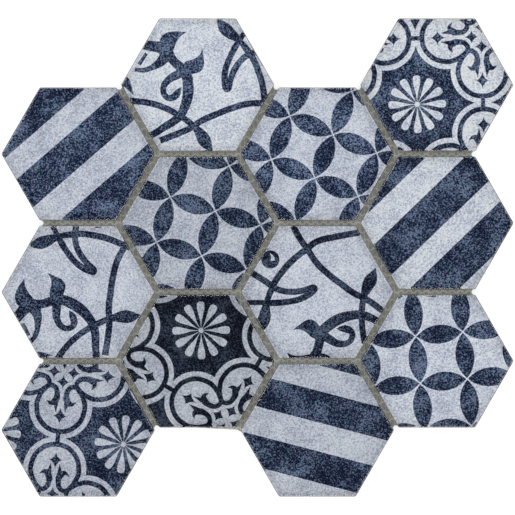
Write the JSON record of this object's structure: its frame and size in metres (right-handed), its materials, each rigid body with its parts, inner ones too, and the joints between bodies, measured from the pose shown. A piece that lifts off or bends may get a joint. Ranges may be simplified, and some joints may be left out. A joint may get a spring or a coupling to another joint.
{
  "type": "glass mosaic tile sheet",
  "caption": "Honeycomb sheet of hexagonal glass tiles with blue and white prints on their backs, bonded to an open mesh that spaces them for grouting on a wall or floor.",
  "frame": {"origin": "under the middle of the sheet, on the plane of the mesh's back", "axes": "+Z out of the printed face, +X across the columns of tiles, +Y up along a column as the sheet is shown"},
  "size_m": [0.2926, 0.2734, 0.0064],
  "materials": {
    "printed_glass": "clear glass, polished face and rounded edge, printed on the back in navy on pale grey",
    "mesh_yarn": "pale flat textile yarn, slightly stiffened with adhesive"
  },
  "bodies": {
    "root": {"glass_tile_column_1_row_1": "printed_glass", "glass_tile_column_1_row_2": "printed_glass", "glass_tile_column_1_row_3": "printed_glass", "glass_tile_column_2_row_1": "printed_glass", "glass_tile_column_2_row_2": "printed_glass", "glass_tile_column_2_row_3": "printed_glass", "glass_tile_column_3_row_1": "printed_glass", "glass_tile_column_3_row_2": "printed_glass", "glass_tile_column_3_row_3": "printed_glass", "glass_tile_column_4_row_1": "printed_glass", "glass_tile_column_4_row_2": "printed_glass", "glass_tile_column_4_row_3": "printed_glass", "mesh_warp_yarns": "mesh_yarn", "mesh_weft_yarns": "mesh_yarn"}
  },
  "joints": []
}
